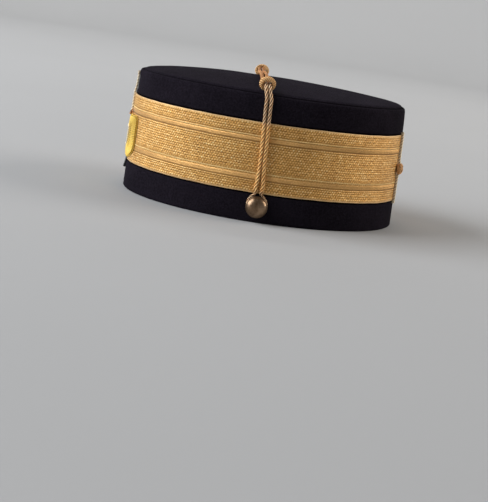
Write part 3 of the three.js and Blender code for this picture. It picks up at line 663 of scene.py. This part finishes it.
# The band's hidden back rows get dark 0.6, which is painted shade.
band.grid(np.swapaxes(section, 0, 1), lace_along, section_v, True, True, 0, flip=False, **{
    k: np.tile(np.concatenate([a, fill + x]), COLUMNS) for k, a, x in (("smooth", smooth, 0), ("pale", pale, 0), ("dark", dark, 0.6))},
    lift=np.concatenate([lift, np.zeros((len(back), COLUMNS))]).T)
lace_band = settle(band.make("lace_band_woven", LACE), "lace", "lace_band")

lines = Piece()
for k, z in enumerate(LINE_Z):
    t = np.linspace(0, TAU, 1200, endpoint=False)
    path = on_crown(t, z + np.interp(t, lace_theta, edge_wave, period=TAU), LACE_FACE + 0.12)
    add_rope(lines, path, 0.31, 2.0, 2, 9, 6, True, 1.12, hand=1, start=1.3 * k)
lace_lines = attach(lines.make("lace_line_threads", LINE), "root")

# ---- doubled cord ---------------------------------------------------------------
OVER_LACE, OVER_CLOTH = 2.05, 1.6
slant = lambda z: BUTTON_Y + (EDGE_Y - BUTTON_Y) * min(1, max(0, (z - BUTTON_Z) / (CROWN_HEIGHT - BUTTON_Z)))
# z, half the distance between the strands, out from the cloth
SIDE_ROUTE = [
    (BUTTON_Z - 3.6, 4.4, 1.1), (BUTTON_Z - 0.6, 6.1, 1.1), (BUTTON_Z + 2.0, 6.5, 1.1), (BUTTON_Z + 4.5, 5.9, 1.15), (BUTTON_Z + 6.8, 4.2, 1.3), (20.2, 2.4, 1.65), (21.8, 1.8, 1.85), (23.4, 2.05, OVER_LACE), (25.4, 2.35, OVER_LACE),
    (28.5, 2.1, OVER_LACE), (32, 1.82, OVER_LACE), (38, 1.48, OVER_LACE), (46, 1.39, OVER_LACE), (58, 1.38, OVER_LACE), (67.5, 1.43, OVER_LACE), (72.5, 1.52, OVER_LACE - 0.15), (80, 1.58, OVER_CLOTH + 0.25), (86, 1.55, OVER_CLOTH + 0.1)]
KNOT_ROUTE = [(5.4, 1.35), (3.4, 0.2), (0, 0.1), (-4.7, 0.1)]  # along the slider, and below its axis
TOP_Y = -9.1
TOP_ROUTE = [(56, 0.4), (36, 0.05), (18, -0.1)]  # x, and lift above lying on the panel


def turned(side):
    y, z = side * KNOT_DIP[side], side * KNOT_YAW
    about_y = np.array([[math.cos(y), 0, math.sin(y)], [0, 1, 0], [-math.sin(y), 0, math.cos(y)]])
    about_z = np.array([[math.cos(z), -math.sin(z), 0], [math.sin(z), math.cos(z), 0], [0, 0, 1]])
    return about_z @ about_y


def top_height(x, y):
    return dome(math.hypot(x / b_top, (y - y_top) / a_top))


def half_strand(side, strand):
    axes = turned(side)
    pts = [on_side(slant(z) + np.interp(z, [20, 28, 58, 78], [0, 0.55, 0.5, 0.12]) + strand * half, z, out) * [side, 1, 1] for z, half, out in SIDE_ROUTE]
    pts += [KNOT_AT[side] + side * a * axes[:, 0] + strand * KNOT_HALF * axes[:, 1] - d * axes[:, 2] for a, d in KNOT_ROUTE]
    pts += [np.array([side * x, TOP_Y + strand * TOP_HALF, top_height(x, TOP_Y) + CORD_R + 0.35 + lift]) for x, lift in TOP_ROUTE]
    return pts


def loop_low(side):
    return on_side(BUTTON_Y, BUTTON_Z - 5.6, 1.1) * [side, 1, 1]


def middle(strand):
    return np.array([0, TOP_Y + strand * TOP_HALF, top_height(0, TOP_Y) + CORD_R + 0.25])


loop = [loop_low(1), *half_strand(1, 1), middle(1), *half_strand(-1, 1)[::-1], loop_low(-1), *half_strand(-1, -1), middle(-1), *half_strand(1, -1)[::-1]]
chin = Piece()
chin_line = smooth_route(loop, True)
CHIN_LENGTH = add_rope(chin, chin_line, lambda p: np.interp(p[:, 2], [20.5, 23.5, 66.0, 73.0], [LOOP_R, CORD_R, CORD_R, 0.84 * CORD_R]), 12.7, 4, 32, 12, True, 1.0)
# Along the lace the cord's colour gets painted bounce light from the lace, and between the sliders painted shade
# darkens and browns it
chin_points = np.concatenate(chin.v)
chin.attrs["painted_lace_bounce"] = [(0, np.interp(chin_points[:, 2], [20.5, 24.0, 67.0, 71.0], [0, 1, 1, 0]))]
# Painted shade on the run across the top between the sliders.
chin.attrs["tan"] = [(0, np.clip((77 - np.abs(chin_points[:, 0])) / 3, 0, 1) * (chin_points[:, 2] > 86))]
chin_cord = settle(chin.make("chin_cord_rope", CORD), "cord", "chin_cord")


# ---- slider knots ------------------------------------------------------------------
def wound_ring(piece, wide, high, deep, long, turns, thread, place_many, seed):
    """A ring of thread wound round the cord. wide and high reach to the middle of its section, deep and long are half the section."""
    section = np.linspace(0, TAU, 721)
    run = np.concatenate([[0], np.cumsum(np.hypot(np.diff(deep * np.cos(section)), np.diff(long * np.sin(section))))])
    per = 60
    t = np.arange(turns * per) / per  # turns round the ring
    f = np.interp(t / turns * run[-1], run, section) + math.pi
    knots = np.random.default_rng(seed).normal(size=turns * 5)
    loose = 0.09 * np.interp(t * 5, np.arange(turns * 5 + 1), np.append(knots, knots[0]))
    out, x = (deep + loose) * np.cos(f), (long + loose) * np.sin(f)
    ring = np.stack([x, (wide + out) * np.cos(TAU * t), (high + out) * np.sin(TAU * t)], -1)
    add_rope(piece, place_many(ring), thread, 2.9, 2, 14, 8, True, 1.1)
    f, turn = np.arange(20) * TAU / 20, np.arange(72) * TAU / 72
    core = np.stack([np.stack([np.full(72, (long - 0.12) * math.sin(a)), (wide + (deep - 0.12) * math.cos(a)) * np.cos(turn), (high + (deep - 0.12) * math.cos(a)) * np.sin(turn)], -1) for a in f])
    # The core's fixed crest gives it mostly the thread's painted valley shade.
    piece.grid(place_many(core.reshape(-1, 3)).reshape(core.shape), np.arange(21) * 0.5, np.arange(73) / 8.0, True, True, 0, flip=False, crest=np.full(20 * 72, 0.5))


def ring_knot(piece, bights, passes, thread, half_wide, half_high, half_long, thick, rise, place_many, floor=None, start=0.0):
    """A three-lead ring knot. Its rope runs three times round the ring, over and under itself. thick is how far the ring's middle stands out past its ends."""
    t = np.linspace(0, TAU, 1400, endpoint=False)
    turn, sway = 3 * t + start, np.cos(bights * t)
    lift = rise * np.sin(2 * bights * t) + thick * (0.62 - sway**2)
    base = np.stack([half_long * sway, (half_wide + lift) * np.cos(turn), (half_high + lift) * np.sin(turn)], -1)
    tangent = unit(np.roll(base, -1, 0) - np.roll(base, 1, 0))
    outward = unit(np.stack([2 * thick / half_long * sway, np.cos(turn), np.sin(turn)], -1))
    sideways = unit(np.cross(outward, tangent))
    for k in range(passes):
        p = base + (k - (passes - 1) / 2) * 1.85 * thread * sideways
        tip = p + outward
        if floor is not None:
            p[:, 2] = np.maximum(p[:, 2], floor)
            tip[:, 2] = np.maximum(tip[:, 2], floor)
        p, tip = place_many(p), place_many(tip)
        keep = np.arange(0, 1400, 3)
        add_tube(piece, p[keep], thread, 8, True, 0, u_from=11.0 * k, upright=unit(tip - p)[keep])


def sleeve(piece, wide, high, long, thick, deep, place_many):
    """The core under the knot's threads, with the hole that the cord runs through."""
    turn = np.arange(64) * TAU / 64
    ring = [(long * x, thick * (0.62 - x * x) - deep) for x in (-1, -0.7, -0.35, 0, 0.35, 0.7, 1)] + [(long * x, -0.38 * thick - deep - 0.3) for x in (0.7, 0, -0.7)]
    p = np.stack([np.stack([np.full(64, x), (wide + r) * np.cos(turn), (high + r) * np.sin(turn)], -1) for x, r in ring])
    pts = place_many(p.reshape(-1, 3)).reshape(p.shape)
    # The sleeve's fixed crest gives it the thread's full painted valley shade.
    piece.grid(pts, np.arange(len(ring) + 1) * 1.0, np.arange(65) / 8.0, True, True, 0, flip=True, crest=np.full(len(ring) * 64, 0.4))


def on_slider(side):
    return lambda p: p @ turned(side).T + KNOT_AT[side]


for name, node_name, s in (("slide_knot_left_tied", "slide_knot_left", 1), ("slide_knot_right_tied", "slide_knot_right", -1)):
    k = Piece()
    wound_ring(k, 4.3, 3.75, 0.95, 1.95, 9, 0.6, on_slider(s), 7 + s)
    settle(k.make(name, KNOT), "cord", node_name)

# ---- buttons ------------------------------------------------------------------------
# r from the axis, h out from the cloth, and how dark the metal is
BUTTON_ROWS = [(0.0, 0.4, 1), (1.45, 0.4, 1), (1.7, 0.65, 1), (1.7, 3.5, 1), (2.1, 3.85, 1), (4.5, 3.9, 0.8), (6.5, 3.9, 0.8), (7.1, 3.98, 0.5), (7.42, 4.18, 0.25), (7.56, 4.45, 0.05), (7.6, 4.7, 0), (7.55, 4.92, 0), (7.42, 5.1, 0.05),
               (7.27, 5.17, 0.5), (7.16, 5.14, 1), (7.06, 5.2, 0.9), (6.98, 5.36, 0.3), (6.85, 5.62, 0.05), (6.6, 6.0, 0), (6.2, 6.42, 0), (5.7, 6.85, 0), (5.1, 7.26, 0), (4.4, 7.66, 0), (3.6, 8.02, 0), (2.7, 8.33, 0), (1.8, 8.54, 0), (0.9, 8.66, 0), (0.0, 8.7, 0)]
foot = on_side(BUTTON_Y, BUTTON_Z, 0)
axis = on_side(BUTTON_Y, BUTTON_Z, 1) - foot
axis[2] = HALF_WIDTH * -TAPER_WIDE / CROWN_HEIGHT
axis = axis / np.linalg.norm(axis)
for name, node_name, s in (("button_left_domed", "button_left", 1), ("button_right_domed", "button_right", -1)):
    k = Piece()
    up = axis * [s, 1, 1]
    e1 = unit(np.cross(up, [0, 0, 1.0]))
    e2 = np.cross(up, e1)
    ang = np.arange(72) * TAU / 72
    rows_b = np.array(BUTTON_ROWS)
    p = (foot * [s, 1, 1])[None, None] + rows_b[1:-1, 0][:, None, None] * (np.cos(ang)[None, :, None] * e1 + np.sin(ang)[None, :, None] * e2) + rows_b[1:-1, 1][:, None, None] * up
    k.grid(p, np.arange(len(p)) * 1.0, np.arange(73) / 72, False, True, 0, flip=True, rim=np.repeat(rows_b[1:-1, 2], 72))
    ring = np.arange(72)
    for row, h, turned_in in ((0, rows_b[0, 1], True), (len(p) - 1, rows_b[-1, 1], False)):
        pts = np.concatenate([p[row], [(foot * [s, 1, 1]) + h * up]])
        fan = np.stack([np.full(72, 72), ring, (ring + 1) % 72], 1)
        k.add(pts, fan[:, ::-1] if turned_in else fan, None, 0, rim=np.full(73, 1.0 if turned_in else 0.0))
    button = k.make(name, BRASS)
    joined = button.modifiers.new("weld", "WELD")
    joined.merge_threshold = 1e-6
    settle(button, "button", node_name)

# ---- single cords --------------------------------------------------------------------
TRIM_LACE, TRIM_CLOTH = LACE_FACE - 0.05 + TRIM_R, TRIM_R - 0.05


def whipping(piece, line, at, long, radius, mat, thread=0.17):
    """Turns of thread wound round a cord's end."""
    q, length = spaced(line, 400, False)
    i0, i1 = int(400 * at / length), int(400 * min(length, at + long) / length)
    core = q[max(0, i0) : max(i0 + 3, i1)]
    turns = int(long / (2 * thread))
    c, _ = spaced(core, turns * 12, False)
    _, n, b = carried_frames(c, False)
    a = (TAU * np.arange(len(c)) / 12)[:, None]
    add_tube(piece, c + radius * (np.cos(a) * n + np.sin(a) * b), thread, 6, False, mat)


front = Piece()
FRONT_ROWS = [(52.9, TRIM_LACE + 0.75), (54.4, TRIM_LACE + 0.6), (56.4, TRIM_LACE + 0.25), (58.5, TRIM_LACE), (62, TRIM_LACE), (67, TRIM_LACE), (70.6, TRIM_LACE - 0.15), (74.5, TRIM_CLOTH - 0.3), (79, TRIM_CLOTH - 0.5), (83, TRIM_CLOTH - 0.5), (86.0, TRIM_CLOTH - 0.6)]
front_line = smooth_route([on_end(-1, 0.0, z, o) for z, o in FRONT_ROWS], False)
FRONT_LENGTH = add_rope(front, front_line, TRIM_R, 4.6, 2, 22, 12, False, 1.12)
whipping(front, front_line, 0.0, 3.0, TRIM_R - 0.05, 1, 0.2)
for s in (1, -1):  # its two ends, along the badge's upper edge
    end = smooth_route([on_end(-1, s * u, z, LACE_FACE + 0.45) for u, z in ((0.6, 57.4), (4.5, 56.6), (9, 55.8), (14, 55.2), (18, 54.9))], False)
    add_rope(front, end, 0.42, 2.6, 2, 12, 7, False, 1.1, 1)
whipping(front, front_line, FRONT_LENGTH - 1.3, 1.3, TRIM_R + 0.02, 0)
settle(front.make("front_cord_rope", TRIM, BROWN), "cord", "front_cord")

rear = Piece()
REAR_R = 1.1
REAR_LACE, REAR_CLOTH = TRIM_LACE + 0.15, TRIM_CLOTH + 0.15
REAR_ROWS = [(18.7, REAR_CLOTH), (20.6, REAR_LACE - 0.1), (26, REAR_LACE), (32, REAR_LACE), (39.8, REAR_LACE + 0.2), (42.6, REAR_LACE + 0.9), (47.6, REAR_LACE + 0.9), (50.4, REAR_LACE + 0.2), (58, REAR_LACE), (66, REAR_LACE), (70.2, REAR_LACE - 0.1), (72.0, REAR_CLOTH)]
rear_line = smooth_route([on_end(1, BACK_U, z, o) for z, o in REAR_ROWS], False)
REAR_LENGTH = add_rope(rear, rear_line, REAR_R, 4.6, 2, 22, 12, False, 1.12)
whipping(rear, rear_line, 0.0, 1.6, REAR_R, 0)
whipping(rear, rear_line, REAR_LENGTH - 1.6, 1.6, REAR_R, 0)
settle(rear.make("back_cord_rope", TRIM), "cord", "back_cord")


def on_back(p):
    """A knot on the back: its axis runs up the cord, its flat side lies on the lace."""
    return on_end(1, BACK_U + p[:, 1], BACK_KNOT_Z + p[:, 0], 2.75 + p[:, 2])


k = Piece()
ring_knot(k, 4, 2, 0.6, 2.75, 1.15, 3.0, 0.75, 0.28, on_back, floor=-1.5, start=0.3)
sleeve(k, 2.65, 1.1, 3.1, 0.75, 0.3, on_back)
settle(k.make("back_knot_tied", BALL), "cord", "back_knot")

# ---- badge: felt backing, padded field and stitched threads ----------------------------
FELT_BACK, FELT_FACE = 0.6, 0.9
SEGMENTS = 240


def cushion(angle):
    """The badge's outline, a rounded oblong that narrows below, as shares of its half sizes."""
    c, s = np.cos(angle), np.sin(angle)
    square = np.where(s > 0, BADGE_SQUARE_HIGH, BADGE_SQUARE_LOW)
    k = (np.abs(c) ** square + np.abs(s) ** square) ** (-1 / square)
    return k * c, k * s


def dipped(x, y):
    return np.clip(y, 0, None) * (BADGE_LIFT * np.square(x) - BADGE_DIP)


def even_cushion(count):
    """Angles that space the outline evenly."""
    t = np.linspace(0, TAU, 6001)
    x, y = cushion(t)
    s = np.concatenate([[0], np.cumsum(np.hypot(BADGE_HALF_WIDE * np.diff(x), BADGE_HALF_HIGH * np.diff(y)))])
    return np.interp(np.linspace(0, s[-1], count, endpoint=False), s, t)


rim_angle = even_cushion(SEGMENTS)
rim_x, rim_y = cushion(rim_angle)
felt = Piece()
frayed = 1 + 0.003 * np.random.default_rng(5).normal(size=SEGMENTS)
FELT_RINGS = [(0.04, FELT_BACK), (0.4, FELT_BACK), (0.75, FELT_BACK), (0.985, FELT_BACK), (0.996, FELT_BACK + 0.1), (1.0, (FELT_BACK + FELT_FACE) / 2), (0.996, FELT_FACE - 0.1), (0.985, FELT_FACE), (0.9, FELT_FACE), (0.75, FELT_FACE), (0.5, FELT_FACE), (0.25, FELT_FACE), (0.04, FELT_FACE)]
pts = []
for r, w in FELT_RINGS:
    k = r * (frayed if r > 0.95 else 1)
    u = (BADGE_HALF_WIDE + FELT_MARGIN) * k * rim_x
    # A pointed tongue below the middle
    tongue = np.clip(1 - np.abs(u) / 17.0, 0, 1) * np.clip(-rim_y, 0, 1)
    z = BADGE_Z + dipped(k * rim_x, k * rim_y) + k * ((BADGE_HALF_HIGH + FELT_MARGIN) * rim_y - tongue * (BADGE_Z - BADGE_HALF_HIGH - FELT_LOW_Z))
    below = np.clip((22.0 - z) / 2.5, 0, 1)
    curl = np.clip((19.0 - z) / 4.5, 0, 1) ** 2
    pts.append(on_end(-1, u, z, w + below * (0.3 + 0.9 * curl if w > (FELT_BACK + FELT_FACE) / 2 else -0.32)))
pts = np.stack(pts)
felt.grid(pts, np.arange(len(pts)) * 4.0, np.arange(SEGMENTS + 1) * 0.6, False, True, 0, flip=False)
ring = np.arange(SEGMENTS)
felt.add(np.zeros((0, 3)), ring[None, :] - felt.n, None, 0)
felt.add(np.zeros((0, 3)), ((len(pts) - 1) * SEGMENTS + ring)[None, ::-1] - felt.n, None, 0)
backing = settle(felt.make("badge_backing_felt", FELT), "felt", "front_badge_backing")

badge = Piece()
PAD_LOW, PAD_EDGE, PAD_HIGH = 0.92, 0.98, 2.0


def badge_share(x, y):
    square = np.where(y > 0, BADGE_SQUARE_HIGH, BADGE_SQUARE_LOW)
    return (np.abs(x) ** square + np.abs(y) ** square) ** (1 / square)


def on_badge(x, y, lift):
    """x and y are shares of the badge's half sizes."""
    high = PAD_EDGE + (PAD_HIGH - PAD_EDGE) * np.sqrt(np.clip(1 - np.minimum(1, 0.88 * badge_share(x, y) ** 3 + 0.12 * np.abs(y) ** 2), 0, 1))
    return on_end(-1, BADGE_HALF_WIDE * x, BADGE_Z + BADGE_HALF_HIGH * y + dipped(x, y), high + lift)


PAD_RINGS = [0.03, 0.3, 0.55, 0.75, 0.88, 0.95, 0.985]
pad = [on_end(-1, BADGE_HALF_WIDE * r * rim_x, BADGE_Z + BADGE_HALF_HIGH * r * rim_y + dipped(r * rim_x, r * rim_y), PAD_LOW) for r in PAD_RINGS]
pad += [on_badge(r * rim_x, r * rim_y, -0.05) for r in PAD_RINGS[::-1]]
pad = np.stack(pad)
# The pad's fixed crest gives it the thread's full painted valley shade between the stitches.
badge.grid(pad, np.arange(len(pad)) * 1.0, np.arange(SEGMENTS + 1) * 0.1, False, True, 0, flip=False, crest=np.full(pad.shape[0] * SEGMENTS, 0.55))
badge.add(np.zeros((0, 3)), ring[None, :] - badge.n, None, 0)
badge.add(np.zeros((0, 3)), ((len(pad) - 1) * SEGMENTS + ring)[None, ::-1] - badge.n, None, 0)


def stitch(piece, xy, radius, high, mat=0, u_from=0.0):
    """One satin stitch laid over the pad along xy, with its ends drawn down."""
    n = len(xy)
    ends = np.clip(np.minimum(np.arange(n), np.arange(n)[::-1]) / 1.5, 0, 1)
    line = on_badge(xy[:, 0], xy[:, 1], 0.12 * ends - 0.12)
    outer_line = on_badge(xy[:, 0], xy[:, 1], 0.5)
    add_tube(piece, line, radius * (0.75 + 0.25 * ends), 6, False, mat, u_from, upright=unit(outer_line - line), flat=high)


# Field: upright purls inside a smaller outline; border: purls that fan outwards; a twisted line between; a coiled edge.
INNER, OUTER = 0.44, 0.955
step = 1.0
for k in range(int(2 * INNER * BADGE_HALF_WIDE / step)):
    x = -INNER + step * (k + 0.5) / BADGE_HALF_WIDE
    high, low = (max(0.0, INNER**q - abs(x) ** q) ** (1 / q) for q in (BADGE_SQUARE_HIGH, BADGE_SQUARE_LOW))
    if min(high, low) * BADGE_HALF_HIGH < 0.7:
        continue
    y = np.linspace(-low, high, 17)
    stitch(badge, np.stack([np.clip(x + 0.03 * y, -INNER, INNER), y], -1), 0.56, 0.8, 2, 3.1 * k)
fan = even_cushion(128)
for k, a in enumerate(fan):
    r = np.linspace(INNER + 0.012 + (0.22 if k % 2 else 0.0), OUTER, 12)
    x, y = cushion(a + 0.05 * (r - INNER) / (OUTER - INNER))
    stitch(badge, np.stack([r * x, r * y], -1), 0.6, 0.8, 0, 2.3 * k)
x, y = cushion(even_cushion(800))
add_rope(badge, on_badge(INNER * x, INNER * y, 0.4), 0.58, 3.4, 2, 14, 8, True, 1.1, mat=1)
edge, edge_length = spaced(on_end(-1, 0.985 * BADGE_HALF_WIDE * x, BADGE_Z + 0.985 * BADGE_HALF_HIGH * y + dipped(0.985 * x, 0.985 * y), 0.95), 3000, True)
tangent, n, b = carried_frames(edge, True)
turns = 300
w = (TAU * turns * np.arange(len(edge)) / len(edge))[:, None]
coil_out = np.cos(w) * n + np.sin(w) * b
add_tube(badge, edge + 0.26 * coil_out, 0.18, 6, True, 0, upright=coil_out)
front_badge = settle(badge.make("front_badge_stitched", YELLOW, TRIM, PALE), "badge_thread", "front_badge")

# ---- stage --------------------------------------------------------------------------------
stage = Piece()
FLOOR_R, CURVE_R, WALL_TOP = 2400.0, 900.0, 2600.0
profile = [(r, 0.0) for r in (40.0, 200.0, 500.0, 1000.0, 1600.0, FLOOR_R)]
profile += [(FLOOR_R + CURVE_R * math.sin(x), CURVE_R * (1 - math.cos(x))) for x in np.linspace(0.1, math.pi / 2, 16)]
profile += [(FLOOR_R + CURVE_R, WALL_TOP)]
ang = np.arange(96) * TAU / 96
bowl = np.stack([np.stack([r * np.cos(ang), r * np.sin(ang), np.full(96, z - 0.02)], -1) for r, z in profile])
stage.grid(bowl, np.arange(len(bowl)) * 1.0, np.arange(97) * 1.0, False, True, 0)
stage.add(np.zeros((0, 3)), np.arange(96)[None] - stage.n, None, 0)
floor = stage.make("studio_floor", pale_floor())
floor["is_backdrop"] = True

world = bpy.data.worlds.new("studio")
bpy.context.scene.world = world
world.use_nodes = True
world.node_tree.nodes["Background"].inputs["Color"].default_value = (1.0, 1.0, 1.0, 1.0)
world.node_tree.nodes["Background"].inputs["Strength"].default_value = 0.23


def softbox(name, at, towards, size, power, colour=(1, 1, 1)):
    data = bpy.data.lights.new(name, "AREA")
    data.shape, data.size, data.size_y, data.energy, data.color = "RECTANGLE", size[0], size[1], power, colour
    ob = bpy.data.objects.new(name, data)
    ob.location = at
    ob.rotation_mode = "QUATERNION"
    ob.rotation_quaternion = (Vector(towards) - Vector(at)).to_track_quat("-Z", "Y")
    bpy.context.scene.collection.objects.link(ob)
    return ob


def box_at(round_deg, high_deg, distance):
    a, e = math.radians(round_deg), math.radians(high_deg)
    return (distance * math.cos(e) * math.cos(a), distance * math.cos(e) * math.sin(a), distance * math.sin(e))


softbox("key", box_at(-84, 31, 2.6), (0, 0, 0.05), (2.2, 2.2), 101.0, (0.965, 1.0, 1.05))
softbox("fill", box_at(98, 30, 2.6), (0, 0, 0.05), (1.5, 1.5), 40.0, (1.065, 0.995, 0.915))
softbox("backdrop", (-1.6, 0.0, 2.3), (-2.9, 0, 0.6), (3.0, 1.0), 46.0)

# ---- camera ---------------------------------------------------------------------------------
PHOTO_W, PHOTO_H = 488, 502
DISTANCE, AZIMUTH, ELEVATION, YAW, PITCH, ROLL, FOCAL_PX = 918.0, 0.0439, 0.1228, -0.0037, -0.0864, 0.155, 1201.44
target = np.array([0, 0, 41.82])
d = np.array([math.cos(ELEVATION) * math.cos(AZIMUTH), -math.cos(ELEVATION) * math.sin(AZIMUTH), math.sin(ELEVATION)])
eye = target + DISTANCE * d
right = unit(np.cross(-d, [0, 0, 1.0]))
up = np.cross(right, -d)
look = unit(-d + math.tan(YAW) * right + math.tan(PITCH) * up)
right = unit(np.cross(look, up))
up = np.cross(right, look)
x_axis = math.cos(ROLL) * right + math.sin(ROLL) * up
y_axis = -math.sin(ROLL) * right + math.cos(ROLL) * up
camera = bpy.data.cameras.new("camera")
camera.sensor_width, camera.sensor_fit = 36.0, "AUTO"
camera.lens = FOCAL_PX / max(PHOTO_W, PHOTO_H) * 36.0
camera.clip_start, camera.clip_end = 0.01, 60.0
camera_object = bpy.data.objects.new("camera", camera)
bpy.context.scene.collection.objects.link(camera_object)
camera_object.matrix_world = Matrix([[*(float(v) for v in row), float(e) * MM] for row, e in zip(np.stack([x_axis, y_axis, -look], 1), eye)] + [[0, 0, 0, 1]])
bpy.context.scene.camera = camera_object
bpy.context.scene.view_settings.view_transform = "Standard"
bpy.context.scene.view_settings.look = "None"

bpy.context.view_layer.update()
{"cad": CAD_BOX, "visual": [list(corner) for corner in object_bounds()], "cord_lengths_mm": {"chin": CHIN_LENGTH, "front": FRONT_LENGTH, "back": REAR_LENGTH}}
